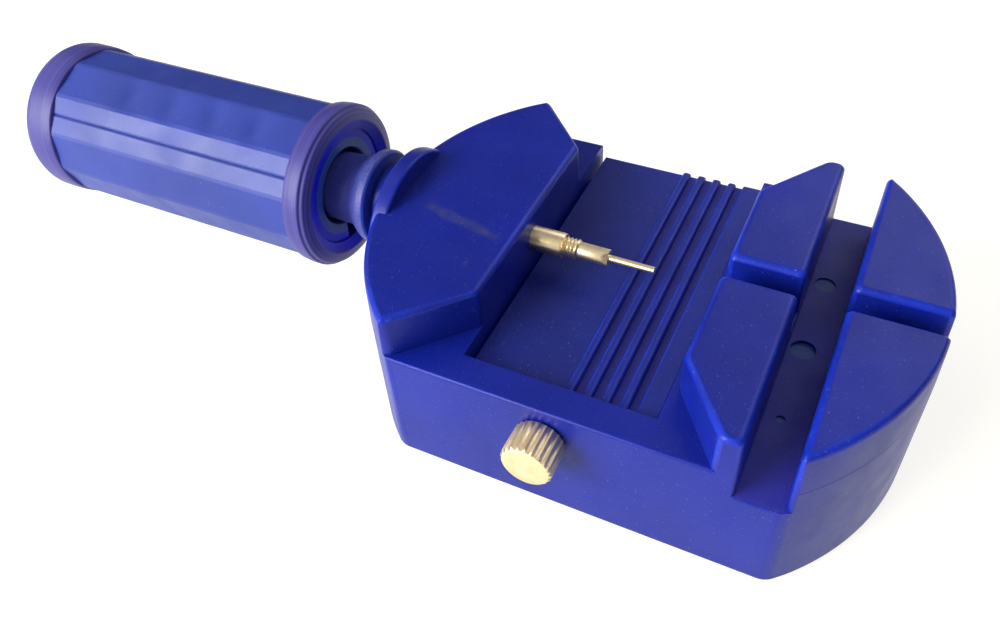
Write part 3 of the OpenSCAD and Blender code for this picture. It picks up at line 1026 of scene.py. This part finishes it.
def on_web_rim(at, normal):
    """True on the outer ring of the web, a hair lower."""
    return abs(at.x - WEB_FACE_X + LIP_STEP) < 0.01 and normal.x > 0.7


def inside_lip(at, normal):
    """True on the funnel of the front ring."""
    return at.x > ring_high.x - 0.8 and from_axis(at) < LIP_CREST_R - 0.1


paint(turned["hub_spool"], handle_plastic, lambda at, normal: at.x > hub_high.x - 0.32)
# The web round the recess gets the painted teal glow.
paint(turned["hub_spool"], teal_glow_plastic, on_web)
# The outer ring of the web and the ring's funnel get the painted glow of the lip.
paint(turned["hub_spool"], lip_glow_plastic, on_web_rim)
paint(turned["ring_front_turned"], lip_glow_plastic, inside_lip)

for side, node in ((1, "handle_shell_front"), (-1, "handle_shell_back")):
    half = make_object(f"{node}_moulded", build_half_barrel(side), handle_plastic, 12)
    stand_for(half, "driver", "handle_plastic", node)

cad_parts["clamp_insert"].data.materials.clear()
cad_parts["clamp_insert"].data.materials.append(brass)

# ---------------------------------------------------------------- floor, light and camera


def glowing_paper(name, colour, glow):
    """Pale paper lit a little from below, as on a light table."""
    s = Shader(name)
    s.bsdf.inputs["Emission Strength"].default_value = glow
    s.bsdf.inputs["Emission Color"].default_value = (1, 0.99, 0.93, 1)
    return s.finish(colour=colour, roughness=0.7)


def soft_room(name, ambient, patches):
    """A dim room with soft bright patches.

    Each patch is (direction, cosine where it starts, cosine where it is full, level).
    """
    made = bpy.data.worlds.new(name)
    made.use_nodes = True
    nodes, links = made.node_tree.nodes, made.node_tree.links
    towards = nodes.new("ShaderNodeTexCoord").outputs["Generated"]
    level = None
    for direction, start, full, strength in patches:
        facing = nodes.new("ShaderNodeVectorMath")
        facing.operation = "DOT_PRODUCT"
        facing.inputs[1].default_value = Vector(direction).normalized()
        links.new(towards, facing.inputs[0])
        ramp = nodes.new("ShaderNodeMapRange")
        ramp.interpolation_type = "SMOOTHSTEP"
        set_range(ramp, start, full, 0, strength)
        links.new(facing.outputs["Value"], ramp.inputs["Value"])
        total = nodes.new("ShaderNodeMath")
        total.inputs[1].default_value = ambient
        links.new(ramp.outputs["Result"], total.inputs[0])
        if level:
            links.new(level, total.inputs[1])
        level = total.outputs[0]
    nodes["Background"].inputs["Color"].default_value = (0.93, 0.92, 1.0, 1)
    links.new(level, nodes["Background"].inputs["Strength"])
    return made


def area_light(name, direction, distance, size, power, colour):
    """A round lamp at a distance from the origin that shines on it."""
    data = bpy.data.lights.new(name, "AREA")
    data.shape = "DISK"
    data.size = size
    data.energy = power
    data.color = colour
    made = bpy.data.objects.new(name, data)
    made.location = Vector(direction).normalized() * distance
    made.rotation_euler = Vector(direction).to_track_quat("Z", "Y").to_euler()
    bpy.context.scene.collection.objects.link(made)


bpy.ops.mesh.primitive_plane_add(size=3)
floor = bpy.context.object
floor.name = "floor"
floor.location.z = body_low.z * MM - 0.0001
floor.data.materials.append(glowing_paper("floor_paper", (0.46, 0.45, 0.41, 1), 0.72))

bpy.context.scene.world = soft_room("soft_room", 0.2, [
    ((0.25, 0.72, 0.62), 0.87, 0.97, 1.9),
    ((-0.7, 0.0, 0.7), 0.8, 0.95, 1.0),
    ((-0.33, -0.94, 0.03), 0.93, 0.985, 1.7),
])

area_light("window", (-0.6, -0.76, 0.43), 0.7, 0.5, 8.0, (1.0, 0.98, 0.95))
area_light("ceiling", (0.5, -0.4, 1.0), 0.9, 0.8, 1.2, (1.0, 0.97, 0.93))

# The camera's place, turn and lens were fitted to the object, in millimetres and degrees.
CAMERA_AT = Vector((22.12, -73.59, 89.52))
AZIMUTH, ELEVATION, ROLL = 29.38, 45.76, -4.81
LENS = 32.87


def camera_axes():
    """The camera's right, up and back directions as columns."""
    az, el, roll = (math.radians(v) for v in (AZIMUTH, ELEVATION, ROLL))
    back = Vector((math.sin(az) * math.cos(el), -math.cos(az) * math.cos(el), math.sin(el)))
    level = Vector((0, 0, 1)).cross(back).normalized()
    upright_axis = back.cross(level)
    right = math.cos(roll) * level + math.sin(roll) * upright_axis
    up = -math.sin(roll) * level + math.cos(roll) * upright_axis
    return Matrix((right, up, back)).transposed()


lens = bpy.data.cameras.new("camera")
lens.lens = LENS
lens.sensor_width = 36
lens.clip_start = 0.002
camera = bpy.data.objects.new("camera", lens)
camera.matrix_world = Matrix.Translation(CAMERA_AT * MM) @ camera_axes().to_4x4()
bpy.context.scene.collection.objects.link(camera)
bpy.context.scene.camera = camera
bpy.context.scene.view_settings.view_transform = "Standard"
